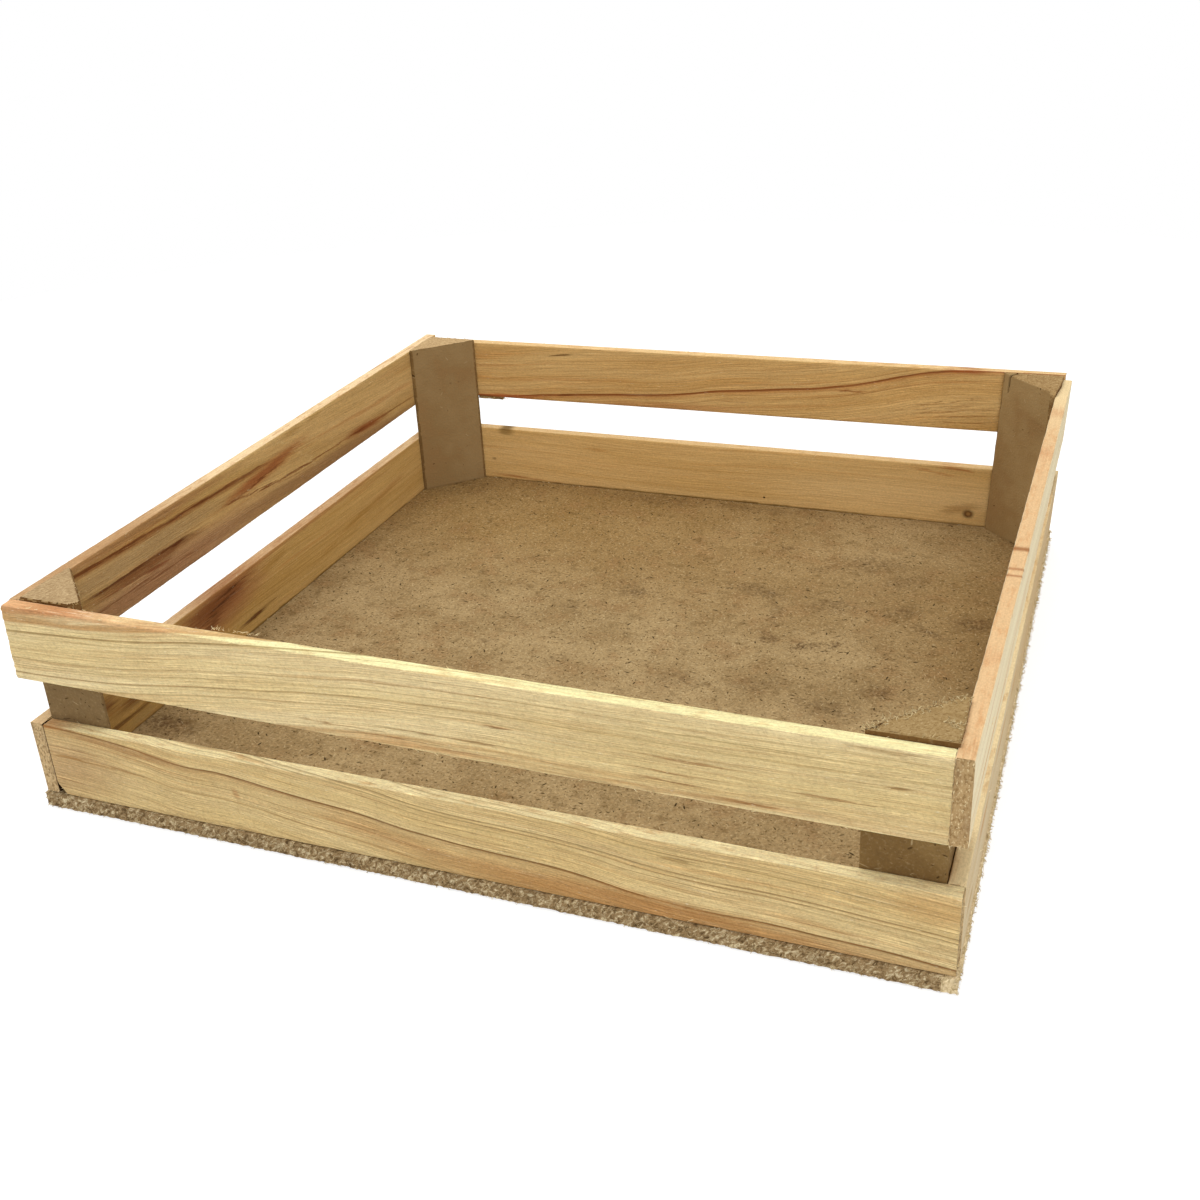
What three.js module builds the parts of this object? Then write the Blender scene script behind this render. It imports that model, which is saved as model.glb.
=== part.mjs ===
import * as THREE from 'three';

// A low slatted wooden crate. A sheet of MDF makes the floor, a triangular MDF
// post stands in each corner, and two rings of thin pine slats are glued round
// the posts with a hand gap between them. Each slat covers the end of one
// neighbour and butts against the inside of the other, and the upper ring goes
// round the other way from the lower one.
// Millimetres, +Z up, the front along X. The origin is the middle of the underside.

// Over the outer faces of the slats
const CRATE_WIDTH = 300;
const CRATE_DEPTH = 297;

// The floor panel stands out a little past the slats all round, measured to
// the tips of the fibres torn out of its sawn edges
const PANEL_THICKNESS = 6;
const PANEL_LIP = 0.9;

// Pine slats, and the open height between the lower and the upper ring
const SLAT_THICKNESS = 4.75;
const SLAT_HEIGHT = 26.5;
const RING_GAP = 16.5;

// Hairline left where the end of a slat meets a neighbour that stands askew
const END_CLEARANCE = 0.3;

// The upper back slat was cut too short to reach the right-hand face
const BACK_SLAT_SHORTFALL = 2.5;

// The upper front slat's left end was sawn off square by this much at its top
const FRONT_END_OFF_SQUARE = 1;

// Triangular posts: the width of each glued side, the flat that blunts each
// thin edge, and the glue line between the right-hand posts and slats. The back
// right one was sawn from a narrower stick.
const POST_SIDE = 23;
const BACK_RIGHT_POST_SIDE = 22;
const POST_BLUNT = 1.2;
const POST_GLUE_LINE = 0.45;

// How far each post's top stands above the nominal top of the upper ring
const FRONT_LEFT_POST_PROUD = 1.25;
const FRONT_RIGHT_POST_PROUD = 1;
const BACK_LEFT_POST_PROUD = 0.5;
const BACK_RIGHT_POST_PROUD = 2.2;

// The right wall is glued askew: at the back its foot stands in by this much
const RIGHT_WALL_LEAN = 3.3;

// How far the ends of the upper slats were glued above their nominal level
const UPPER_FRONT_LEFT_RISE = 0.6;
const UPPER_FRONT_RIGHT_RISE = -1.1;
const UPPER_RIGHT_FRONT_RISE = -1;
const UPPER_RIGHT_BACK_RISE = 0.25;
const UPPER_BACK_LEFT_RISE = -1.1;
const UPPER_BACK_RIGHT_RISE = 1.9;
const UPPER_LEFT_FRONT_RISE = 0.5;
const UPPER_LEFT_BACK_RISE = 0.25;

// How much more than their nominal height the ends of the lower slats measure
const LOWER_FRONT_LEFT_EXTRA = 0.2;
const LOWER_FRONT_RIGHT_EXTRA = -0.1;
const LOWER_RIGHT_FRONT_EXTRA = -0.1;
const LOWER_RIGHT_BACK_EXTRA = 1.2;
const LOWER_BACK_LEFT_EXTRA = -0.6;
const LOWER_BACK_RIGHT_EXTRA = 1.1;
const LOWER_LEFT_FRONT_EXTRA = 0.4;
const LOWER_LEFT_BACK_EXTRA = 0;

// Places that the sizes above give
const outerX = CRATE_WIDTH / 2;
const outerY = CRATE_DEPTH / 2;
const innerX = outerX - SLAT_THICKNESS;
const innerY = outerY - SLAT_THICKNESS;
const lowerRingBottom = PANEL_THICKNESS;
const upperRingBottom = lowerRingBottom + SLAT_HEIGHT + RING_GAP;
const upperRingTop = upperRingBottom + SLAT_HEIGHT;

// How far the right wall stands in from its true plane at a depth and a height
function rightWallInset(y, z) {
  const towardsBack = (y + outerY) / CRATE_DEPTH;
  const towardsFoot = (upperRingTop - z) / upperRingTop;
  return RIGHT_WALL_LEAN * towardsBack * towardsFoot;
}

function finish(color, roughness) {
  return new THREE.MeshStandardMaterial({ color, roughness, metalness: 0 });
}

// Moves the corners of a mesh by a rule written in the crate's own coordinates
function reshape(mesh, rule) {
  const corners = mesh.geometry.attributes.position;
  const corner = new THREE.Vector3();
  for (let i = 0; i < corners.count; i += 1) {
    corner.fromBufferAttribute(corners, i).add(mesh.position);
    rule(corner);
    corner.sub(mesh.position);
    corners.setXYZ(i, corner.x, corner.y, corner.z);
  }
  mesh.geometry.computeVertexNormals();
  return mesh;
}

function leanWithRightWall(corner) {
  corner.x -= rightWallInset(corner.y, corner.z);
}

// A sheet of MDF, sawn with its right-hand edge running in towards the back
function floorPanel() {
  const width = CRATE_WIDTH + 2 * PANEL_LIP;
  const depth = CRATE_DEPTH + 2 * PANEL_LIP;
  const sheet = new THREE.BoxGeometry(width, depth, PANEL_THICKNESS);
  const panel = new THREE.Mesh(sheet, finish('#9c8058', 0.85));
  panel.name = 'floor_panel';
  panel.position.set(0, 0, PANEL_THICKNESS / 2);
  return reshape(panel, (corner) => {
    if (corner.x > 0) leanWithRightWall(corner);
  });
}

// A post is a sawn triangle of MDF with its right angle in the crate's corner.
// sideX and sideY are 1 or -1 and say which corner. The right-hand posts lean
// with the wall that they are glued to.
function cornerPost(name, sideX, sideY, side, proud) {
  const section = new THREE.Shape([
    new THREE.Vector2(0, 0),
    new THREE.Vector2(-sideX * side, 0),
    new THREE.Vector2(-sideX * side, -sideY * POST_BLUNT),
    new THREE.Vector2(-sideX * POST_BLUNT, -sideY * side),
    new THREE.Vector2(0, -sideY * side),
  ]);
  const depth = upperRingTop + proud - PANEL_THICKNESS;
  const stick = new THREE.ExtrudeGeometry(section, { depth, bevelEnabled: false });
  const post = new THREE.Mesh(stick, finish('#86684a', 0.8));
  post.name = name;
  const glueLine = sideX > 0 ? POST_GLUE_LINE : 0;
  post.position.set(sideX * innerX - glueLine, sideY * innerY, PANEL_THICKNESS);
  return sideX > 0 ? reshape(post, leanWithRightWall) : post;
}

// A slat is a plain strip of pine between two points of the plan
function slat(name, low, high, bottom) {
  const size = new THREE.Vector2().subVectors(high, low);
  const strip = new THREE.BoxGeometry(size.x, size.y, SLAT_HEIGHT);
  const mesh = new THREE.Mesh(strip, finish('#cdb27c', 0.7));
  mesh.name = name;
  mesh.position.set((low.x + high.x) / 2, (low.y + high.y) / 2, bottom + SLAT_HEIGHT / 2);
  return mesh;
}

// A slat's first end is its left or its front one
function riseAlong(mesh, corner, first, last) {
  const { width, height } = mesh.geometry.parameters;
  const alongX = width > height;
  const offset = alongX ? corner.x - mesh.position.x : corner.y - mesh.position.y;
  const share = offset / Math.max(width, height) + 0.5;
  return THREE.MathUtils.lerp(first, last, share);
}

// An upper slat is glued to the posts alone, so it can sit out of level
function upperSlat(name, low, high, firstRise, lastRise) {
  const mesh = slat(name, low, high, upperRingBottom);
  return reshape(mesh, (corner) => {
    corner.z += riseAlong(mesh, corner, firstRise, lastRise);
  });
}

// A lower slat stands on the panel, so only its top edge runs out of level
function lowerSlat(name, low, high, firstExtra, lastExtra) {
  const mesh = slat(name, low, high, lowerRingBottom);
  return reshape(mesh, (corner) => {
    if (corner.z > mesh.position.z) corner.z += riseAlong(mesh, corner, firstExtra, lastExtra);
  });
}

function at(x, y) {
  return new THREE.Vector2(x, y);
}

// Upper ring: the front, right, back and left slats each cover the left-hand
// end of the next one on the way round
function upperRing() {
  const front = upperSlat('slat_upper_front', at(-outerX, -outerY), at(innerX - END_CLEARANCE, -innerY),
    UPPER_FRONT_LEFT_RISE, UPPER_FRONT_RIGHT_RISE);
  reshape(front, (corner) => {
    const atLeftEnd = corner.x < -innerX;
    const atTop = corner.z > front.position.z;
    if (atLeftEnd && atTop) corner.x += FRONT_END_OFF_SQUARE;
  });
  const right = upperSlat('slat_upper_right', at(innerX, -outerY), at(outerX, innerY),
    UPPER_RIGHT_FRONT_RISE, UPPER_RIGHT_BACK_RISE);
  reshape(right, leanWithRightWall);
  const back = upperSlat('slat_upper_back', at(-innerX, innerY), at(outerX - BACK_SLAT_SHORTFALL, outerY),
    UPPER_BACK_LEFT_RISE, UPPER_BACK_RIGHT_RISE);
  const left = upperSlat('slat_upper_left', at(-outerX, -innerY), at(-innerX, outerY),
    UPPER_LEFT_FRONT_RISE, UPPER_LEFT_BACK_RISE);
  return [front, right, back, left];
}

// Lower ring: the same round the other way, so that the corner joints alternate
function lowerRing() {
  const front = lowerSlat('slat_lower_front', at(-innerX + END_CLEARANCE, -outerY), at(outerX, -innerY),
    LOWER_FRONT_LEFT_EXTRA, LOWER_FRONT_RIGHT_EXTRA);
  const right = lowerSlat('slat_lower_right', at(innerX, -innerY), at(outerX, outerY),
    LOWER_RIGHT_FRONT_EXTRA, LOWER_RIGHT_BACK_EXTRA);
  reshape(right, leanWithRightWall);
  const back = lowerSlat('slat_lower_back', at(-outerX, innerY), at(innerX - END_CLEARANCE, outerY),
    LOWER_BACK_LEFT_EXTRA, LOWER_BACK_RIGHT_EXTRA);
  reshape(back, (corner) => {
    if (corner.x > 0) leanWithRightWall(corner);
  });
  const left = lowerSlat('slat_lower_left', at(-outerX, -outerY), at(-innerX, innerY),
    LOWER_LEFT_FRONT_EXTRA, LOWER_LEFT_BACK_EXTRA);
  return [front, right, back, left];
}

const crate = new THREE.Group();
crate.add(floorPanel());
crate.add(cornerPost('post_front_left', -1, -1, POST_SIDE, FRONT_LEFT_POST_PROUD));
crate.add(cornerPost('post_front_right', 1, -1, POST_SIDE, FRONT_RIGHT_POST_PROUD));
crate.add(cornerPost('post_back_left', -1, 1, POST_SIDE, BACK_LEFT_POST_PROUD));
crate.add(cornerPost('post_back_right', 1, 1, BACK_RIGHT_POST_SIDE, BACK_RIGHT_POST_PROUD));
crate.add(...lowerRing(), ...upperRing());

export default crate;
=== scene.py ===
import math
import random

import bpy
from mathutils import Matrix, Quaternion, Vector, noise


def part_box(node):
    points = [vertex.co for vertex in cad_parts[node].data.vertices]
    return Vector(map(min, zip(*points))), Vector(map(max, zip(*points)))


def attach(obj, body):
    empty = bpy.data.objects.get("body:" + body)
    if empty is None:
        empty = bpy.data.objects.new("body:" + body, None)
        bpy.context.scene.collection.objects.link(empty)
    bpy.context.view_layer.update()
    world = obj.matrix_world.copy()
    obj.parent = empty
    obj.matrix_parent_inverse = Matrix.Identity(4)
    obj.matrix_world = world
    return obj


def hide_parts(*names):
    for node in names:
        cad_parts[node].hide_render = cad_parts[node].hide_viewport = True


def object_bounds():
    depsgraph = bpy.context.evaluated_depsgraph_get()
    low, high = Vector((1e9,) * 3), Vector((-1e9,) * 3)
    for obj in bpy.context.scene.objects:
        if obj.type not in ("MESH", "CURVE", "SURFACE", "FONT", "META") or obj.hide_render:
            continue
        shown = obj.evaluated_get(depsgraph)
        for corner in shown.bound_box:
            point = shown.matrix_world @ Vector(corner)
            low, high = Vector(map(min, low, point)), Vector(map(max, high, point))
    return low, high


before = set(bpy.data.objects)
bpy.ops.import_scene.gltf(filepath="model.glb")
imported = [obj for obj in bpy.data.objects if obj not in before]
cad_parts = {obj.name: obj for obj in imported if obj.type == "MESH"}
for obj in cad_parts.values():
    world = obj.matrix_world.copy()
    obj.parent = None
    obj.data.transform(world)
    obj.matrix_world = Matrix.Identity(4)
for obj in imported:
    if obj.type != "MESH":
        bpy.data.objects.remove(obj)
cad_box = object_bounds()
MM = 0.001

# Floor panel. One sheet of 6 mm MDF, a board of wood fibres pressed with resin. Its faces are smooth,
# brown and flecked with darker fibres. Its edges are sawn, so they are a mat of torn fibres that stands
# a little past the slats. Everything else is glued on top of it.
PANEL_GRID = 4 * MM
PANEL_EDGE_CUTS = 9
PANEL_TUFT = 1.2 * MM
PANEL_TUFT_DEPTH = 0.6 * MM
PANEL_BODY_INSET = 0.12 * MM
RIGHT_EDGE_FROM = 146 * MM
PANEL_FIBRES = 3200
RIGHT_EDGE_FIBRES = 600
RIGHT_EDGE_FIBRES_LONGER = 1.1
TORN_FIBRE_LENGTH = 1.6 * MM
TORN_FIBRE_THICKNESS = 0.24 * MM
TORN_FIBRE_ROOT = 0.15 * MM
STAIN_RAGGED = 14


def linear(code):
    """A colour written as six hex digits, as the linear values that a shader takes."""
    parts = [int(code[i:i + 2], 16) / 255 for i in (1, 3, 5)]
    return [p / 12.92 if p <= 0.04045 else ((p + 0.055) / 1.055) ** 2.4 for p in parts] + [1]


def add(tree, kind, inputs=None, out=0, **settings):
    """Adds a node with its settings. Each input is a value or another node's output."""
    made = tree.nodes.new("ShaderNode" + kind)
    for name, value in settings.items():
        setattr(made, name, value)
    for key, value in (inputs or {}).items():
        if isinstance(value, bpy.types.NodeSocket):
            tree.links.new(value, made.inputs[key])
        else:
            made.inputs[key].default_value = value
    return made.outputs[out] if made.outputs else made


def new_material(name):
    """An empty material and its node tree."""
    material = bpy.data.materials.new(name)
    material.use_nodes = True
    material.node_tree.nodes.clear()
    return material, material.node_tree


def painted(tree, colour, *layers):
    """Lays colours over a first one in turn, each as strongly as its mask says."""
    for code, mask in layers:
        colour = add(tree, "Mix", {0: mask, 6: colour, 7: linear(code)}, out=2, data_type="RGBA")
    return colour


def place_in_mm(tree, turn=(0, 0, 0)):
    """Where a point of the piece is, in mm, turned by degrees about each axis."""
    place = add(tree, "TexCoord", out="Object")
    return add(tree, "Mapping", {"Vector": place, "Rotation": [math.radians(angle) for angle in turn],
                                 "Scale": [1 / MM] * 3})


def cloudy(tree, place, lumps, low, high, most=1.0, detail=2, seed=0.0):
    """A mask of noise with lumps of a size in mm along each axis: 0 below low, and most above high."""
    spread = add(tree, "Mapping", {"Vector": place, "Location": (seed, seed, seed),
                                   "Scale": [1 / lump for lump in lumps]})
    cloud = add(tree, "TexNoise", {"Vector": spread, "Scale": 1.0, "Detail": detail, "Roughness": 0.6})
    return add(tree, "MapRange", {"Value": cloud, "From Min": low, "From Max": high, "To Max": most},
               interpolation_type="SMOOTHSTEP")


def flecks(tree, place, cell, length, width, share, most, seed):
    """A mask of single fibres in a flat face: one in some of the cells of a net, each turned its own way
    and cut to its own length. Sizes in mm."""
    net = add(tree, "Mapping", {"Vector": place, "Location": (seed, seed, 0), "Scale": [1 / cell] * 3})
    middle = add(tree, "TexVoronoi", {"Vector": net, "Scale": 1.0}, out="Position", voronoi_dimensions="2D")
    chance = add(tree, "SeparateColor", {"Color": middle.node.outputs["Color"]}).node.outputs
    offset = add(tree, "VectorMath", {0: net, 1: middle}, operation="SUBTRACT")
    angle = add(tree, "Math", {0: chance["Red"], 1: math.tau}, operation="MULTIPLY")
    turned = add(tree, "VectorRotate", {"Vector": offset, "Angle": angle}, rotation_type="Z_AXIS")
    shape = add(tree, "VectorMath", {0: turned, 1: (2 * cell / length, 2 * cell / width, 0)},
                operation="MULTIPLY")
    far = add(tree, "VectorMath", {0: shape}, out="Value", operation="LENGTH")
    size = add(tree, "MapRange", {"Value": chance["Blue"], "To Min": 0.45, "To Max": 1.1})
    far = add(tree, "Math", {0: far, 1: size}, operation="DIVIDE")
    mask = add(tree, "MapRange", {"Value": far, "From Min": 0.6, "From Max": 1.15, "To Min": most,
                                  "To Max": 0.0}, interpolation_type="SMOOTHSTEP")
    present = add(tree, "Math", {0: chance["Green"], 1: share}, operation="LESS_THAN")
    return add(tree, "Math", {0: mask, 1: present}, operation="MULTIPLY")


def patch(tree, place, x, y, long, high, strength, turn=0):
    """A mask for one soft stain or streak in a flat face: its middle and half lengths in mm, how strong it
    is, and its turn in degrees."""
    local = add(tree, "Mapping", {"Vector": place, "Location": (x, y, 0), "Scale": (long, high, 1),
                                  "Rotation": (0, 0, math.radians(turn))}, vector_type="TEXTURE")
    flat = add(tree, "VectorMath", {0: local, 1: (1, 1, 0)}, operation="MULTIPLY")
    far = add(tree, "VectorMath", {0: flat}, out="Value", operation="LENGTH")
    return add(tree, "MapRange", {"Value": far, "From Min": 0.25, "From Max": 1.0, "To Min": strength,
                                  "To Max": 0.0}, interpolation_type="SMOOTHSTEP")


def finish_material(tree, colour, roughness, height, depth):
    """Ends a material in a matt shader with a bump of a real depth in metres."""
    bump = add(tree, "Bump", {"Height": height, "Distance": depth, "Strength": 1.0})
    shader = add(tree, "BsdfPrincipled", {"Base Color": colour, "Roughness": roughness, "Normal": bump,
                                          "IOR": 1.5, "Specular IOR Level": 0.08})
    add(tree, "OutputMaterial", {"Surface": shader})


def pressed_board(name, pale, brown, red, fleck, lie=(0, 0, 0), painted_shades=(), stains=(), loose=1.0):
    """The smooth face of MDF: felted brown fibres under resin, matt, with dark fibres 1 to 2 mm long in it.
    The board's face is turned into X and Y by lie, in degrees, so that its fibres lie in the face. Painted
    shades are large soft areas of another colour, painted shade where less light falls, and stains are small
    ragged ones of dirt, each with its middle, half lengths, strength and turn. Loose is how much the single
    fibres stand out."""
    material, tree = new_material(name)
    place = place_in_mm(tree, lie)
    warp = add(tree, "TexNoise", {"Vector": place, "Scale": 1 / 2.5, "Detail": 4, "Roughness": 0.75},
               out="Color")
    ragged = add(tree, "VectorMath", {0: warp, 1: (STAIN_RAGGED, STAIN_RAGGED, 0), 2: place},
                 operation="MULTIPLY_ADD")
    dirt = 0.0
    for x, y, *shape in stains:
        stain = patch(tree, ragged, x + STAIN_RAGGED / 2, y + STAIN_RAGGED / 2, *shape)
        dirt = add(tree, "Math", {0: dirt, 1: stain}, operation="MAXIMUM")
    smoke = cloudy(tree, place, (5, 5, 5), 0.36, 0.6, 0.48, detail=6, seed=31)
    smoke = add(tree, "Math", {0: dirt, 1: smoke}, operation="MULTIPLY")
    grit = cloudy(tree, place, (1.3, 1.3, 1.3), 0.44, 0.6, 0.8, detail=5, seed=3)
    dirt = add(tree, "Math", {0: dirt, 1: grit}, operation="MULTIPLY")
    felt = cloudy(tree, place, (0.9, 0.9, 0.9), 0.3, 0.7, detail=4, seed=5)
    colour = painted(
        tree, linear(pale),
        (brown, cloudy(tree, place, (24, 24, 24), 0.34, 0.66, detail=4, seed=1)),
        *((shade, patch(tree, place, *where)) for shade, *where in painted_shades),
        (red, cloudy(tree, place, (12, 12, 12), 0.5, 0.72, 0.3, seed=2)),
        (fleck, cloudy(tree, place, (0.8, 0.8, 0.8), 0.5, 0.7, 0.45 * loose, detail=3, seed=7)),
        ("#D2BC90", cloudy(tree, place, (1.0, 1.0, 1.0), 0.52, 0.74, 0.4 * loose, detail=3, seed=19)),
        (fleck, cloudy(tree, place, (5, 5, 5), 0.52, 0.72, 0.45 * loose, detail=5, seed=23)),
        ("#6E5434", smoke),
        ("#4E3720", dirt),
        ("#D2BC92", flecks(tree, place, 3.3, 2.8, 0.35, 0.4 * loose, 0.35, 3)),
        (fleck, flecks(tree, place, 2.2, 1.3, 0.5, 0.5 * loose, 0.75, 11)),
        ("#4A361A", flecks(tree, place, 3.7, 1.5, 0.6, 0.5 * loose, 0.9, 17)),
        ("#382812", flecks(tree, place, 7.0, 2.3, 0.7, 0.4 * loose, 0.95, 29)))
    light = add(tree, "MapRange", {"Value": felt, "To Min": 1 - 0.17 * loose, "To Max": 1 + 0.15 * loose})
    colour = add(tree, "VectorMath", {0: colour, "Scale": light}, operation="SCALE")
    finish_material(tree, colour, 0.85, felt, 0.08 * MM)
    return material


def torn_board(name, pale, brown, dark, bump, tuft=0.9, clump=0.35):
    """Sawn MDF: torn fibres stand out of it in curls, so it is paler on the tufts and painted dark between
    them, painted shade in the hollows. The saw has laid them over on the slant. Bump is how deep they are,
    tuft how wide in mm, and clump how plain the darker clumps of them are."""
    material, tree = new_material(name)
    place = place_in_mm(tree)
    slant = add(tree, "Mapping", {"Vector": place, "Rotation": (0, math.radians(45), math.radians(-35))})
    laid = add(tree, "Mapping", {"Vector": slant, "Scale": (0.24 / tuft, 1 / tuft, 1 / tuft)})
    curls = add(tree, "TexNoise", {"Vector": laid, "Scale": 1.3, "Detail": 4, "Roughness": 0.7,
                                   "Distortion": 0.8})
    painted_hollow_shade, tufts = [add(tree, "MapRange", {"Value": curls, "From Min": 0.5, "From Max": end},
                       interpolation_type="SMOOTHSTEP") for end in (0.34, 0.66)]
    colour = painted(
        tree, linear(brown),
        (dark, painted_hollow_shade),
        (pale, tufts),
        (dark, cloudy(tree, place, (5, 5, 5), 0.48, 0.7, clump, detail=3, seed=1)),
        (dark, cloudy(tree, place, (0.5, 0.5, 0.5), 0.56, 0.7, clump, seed=4)))
    finish_material(tree, colour, 0.9, curls, bump)
    return material


def block(name, middle, size):
    """A cube stretched to a size."""
    bpy.ops.object.select_all(action="DESELECT")
    bpy.ops.mesh.primitive_cube_add(size=1, location=middle, scale=size)
    bpy.ops.object.transform_apply(location=True, rotation=True, scale=True)
    made = bpy.context.object
    made.name = name
    return made


def block_on(node, name):
    """A block over the node's box. Its corners are then set on those of the solid, which was glued askew."""
    low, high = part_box(node)
    made = block(name, (low + high) / 2, high - low)
    solid = [vertex.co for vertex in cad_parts[node].data.vertices]
    for vertex in made.data.vertices:
        vertex.co = min(solid, key=lambda corner: (corner - vertex.co).length).copy()
    return made


def select_only(*pieces):
    """Selects these pieces and nothing else. The last one is the active one."""
    bpy.ops.object.select_all(action="DESELECT")
    for piece in pieces:
        piece.select_set(True)
    bpy.context.view_layer.objects.active = pieces[-1]


def pick(piece, mode, wanted):
    """Selects the faces, edges or points of a piece for which wanted(item) is true, and nothing else."""
    mesh = piece.data
    for items in (mesh.polygons, mesh.edges, mesh.vertices):
        items.foreach_set("select", [False] * len(items))
    items = {"FACE": mesh.polygons, "EDGE": mesh.edges, "VERT": mesh.vertices}[mode]
    for item in items:
        item.select = wanted(item)
    bpy.context.tool_settings.mesh_select_mode = (mode == "VERT", mode == "EDGE", mode == "FACE")


def edit(piece, operator, **settings):
    """Runs one edit-mode operator on what is selected in a piece, with no other piece in edit mode."""
    select_only(piece)
    bpy.ops.object.mode_set(mode="EDIT")
    operator(**settings)
    bpy.ops.object.mode_set(mode="OBJECT")


def shaped(piece, kind, **settings):
    """Puts one modifier on a piece and applies it."""
    bpy.context.view_layer.objects.active = piece
    modifier = piece.modifiers.new(kind.lower(), kind)
    for name, value in settings.items():
        setattr(modifier, name, value)
    bpy.ops.object.modifier_apply(modifier=modifier.name)


def cut_across(piece, axis, spacing):
    """Divides the long edges that run along an axis, which cuts the piece into even slices."""
    size = max(v.co[axis] for v in piece.data.vertices) - min(v.co[axis] for v in piece.data.vertices)

    def runs_along(edge):
        start, end = (piece.data.vertices[i].co for i in edge.vertices)
        return abs(end[axis] - start[axis]) > size / 2

    pick(piece, "EDGE", runs_along)
    edit(piece, bpy.ops.mesh.subdivide, number_cuts=max(1, round(size / spacing) - 1))


def grown(point, size, stretch=(1, 1, 1)):
    """Smooth noise from 0 to 1 with lumps of a size, longer along an axis where stretch is more than 1."""
    scaled = Vector(point[i] / (size * stretch[i]) for i in range(3))
    return 0.5 + 0.5 * noise.noise(scaled)


def wear(piece, depth_at):
    """Sinks each point of the surface by what depth_at says for its place and normal."""
    points = [(vertex, vertex.normal.copy()) for vertex in piece.data.vertices]
    for vertex, normal in points:
        vertex.co -= normal * depth_at(vertex.co, normal)
    piece.data.update()


def curled_fibre(name, length, thickness, curl, material, slices=5):
    """One torn fibre: a thin four-sided spike that stands on the origin, cut into slices so that it curls
    over, curl in degrees."""
    bpy.ops.object.select_all(action="DESELECT")
    bpy.ops.mesh.primitive_cone_add(vertices=4, radius1=thickness / 2, radius2=thickness / 6, depth=length,
                                    location=(0, 0, length / 2))
    bpy.ops.object.transform_apply(location=True, rotation=True, scale=True)
    fibre = bpy.context.object
    fibre.name = name
    cut_across(fibre, 2, length / slices)
    shaped(fibre, "SIMPLE_DEFORM", deform_method="BEND", deform_axis="X", angle=math.radians(curl))
    fibre.data.materials.append(material)
    return fibre


def drawn(dice, *parts):
    """A vector, each part of it a number or a range to draw from."""
    return Vector([dice.uniform(*part) if isinstance(part, tuple) else part for part in parts])


def root(dice, place, lean, least, most):
    """Where a copy of a fibre grows and how it leans, with a roll and a size drawn for it."""
    return place, lean, dice.uniform(0, math.tau), dice.uniform(least, most)


def plant(piece, fibre, roots):
    """Joins copies of a fibre to a piece. Each root is a place, a way to lean, a roll and a size."""
    copies = []
    for place, lean, roll, size in roots:
        copy = fibre.copy()
        copy.data = fibre.data.copy()
        bpy.context.collection.objects.link(copy)
        standing = lean.to_track_quat("Z", "Y").to_matrix().to_4x4()
        copy.data.transform(Matrix.Translation(place) @ standing @ Matrix.Rotation(roll, 4, "Z")
                            @ Matrix.Scale(size, 4))
        copies.append(copy)
    select_only(*copies, piece)
    bpy.ops.object.join()


def keep_inside(piece):
    """Presses what stands past the crate's own size back to it."""
    for vertex in piece.data.vertices:
        for axis in range(3):
            vertex.co[axis] = min(max(vertex.co[axis], cad_box[0][axis]), cad_box[1][axis])


def smooth(piece, degrees):
    """Shades a piece smooth except over edges sharper than an angle."""
    select_only(piece)
    bpy.ops.object.shade_smooth_by_angle(angle=math.radians(degrees))


def seat(piece, node):
    """Hands a finished piece to the frame in place of its node."""
    keep_inside(piece)
    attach(piece, "root")
    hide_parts(node)


# The stains are what glue, dust and handling left on the panel's face, and the long one beside the right
# wall darkens the board along that wall. The painted shades are painted shade: the board is darker towards
# the back left, along the right wall and softly in the middle
floor_board = pressed_board(
    "mdf_floor_face", pale="#A38A61", brown="#8F764F", red="#946F48", fleck="#5F4724",
    painted_shades=(("#856533", -95, 135, 230, 130, 0.65), ("#7C5F34", 146, 70, 66, 150, 0.68),
            ("#8C6E42", 30, 62, 130, 60, 0.35)),
    stains=(
        (-31, 137, 30, 8, 0.4, -4), (20, 138, 60, 5, 0.25), (42, 57, 17, 7, 0.6, -15),
        (34, 60, 9, 5, 0.5, 30), (72, 52, 15, 9, 0.55, 5), (99, 54, 11, 7, 0.6, 10), (128, 51, 14, 9, 0.7),
        (69, 17, 8, 5, 0.95, 20), (79, 20, 7, 4, 1.0, 30), (-9, 43, 10, 7, 0.6), (-12, 48, 5, 9, 0.4, 20),
        (112, 40, 13, 4, 0.75, -30), (52, 40, 5, 16, 0.4, 10), (54, 20, 8, 5, 0.7, -60),
        (30, -20, 14, 9, 0.35), (102, -9, 9, 7, 0.6), (60, -16, 16, 8, 0.4, 20), (86, -25, 20, 8, 0.5),
        (80, 93, 22, 12, 0.5, 10), (96, 80, 14, 8, 0.45, 40), (42, 100, 9, 4, 0.5, 60),
        (60, 84, 9, 5, 0.4, 30), (-28, 22, 9, 4, 0.35, -40), (-20, -19, 10, 4, 0.35, 50),
        (-50, -13, 7, 4, 0.3), (-137, -101, 17, 9, 0.8), (-128, -104, 9, 6, 0.8),
        (-126, 128, 26, 16, 0.3, 20), (139, 40, 8, 120, 0.4)))
sawn_board = torn_board("mdf_sawn_edge", pale="#DCCCA6", brown="#9A805A", dark="#5C482E", bump=0.22 * MM,
                        tuft=1.5, clump=0.3)
# The right edge's copy is paler: painted light, for the light that falls on that side
sawn_board_right_painted_lit = torn_board("mdf_sawn_edge_right_painted_lit", pale="#F6E6C0", brown="#DCC69C", dark="#B09A70",
                              bump=0.22 * MM, tuft=1.5, clump=0.22)
loose_fibre = torn_board("mdf_loose_fibre", pale="#DCCCA2", brown="#C4B084", dark="#A08860", bump=0.05 * MM)

panel = block_on("floor_panel", "floor_panel_board")
cut_across(panel, 0, PANEL_GRID)
cut_across(panel, 1, PANEL_GRID)
rim_edges = {key for face in panel.data.polygons if abs(face.normal.z) < 0.5 for key in face.edge_keys}
pick(panel, "EDGE", lambda edge: edge.key in rim_edges)
edit(panel, bpy.ops.mesh.subdivide, number_cuts=PANEL_EDGE_CUTS)


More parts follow.
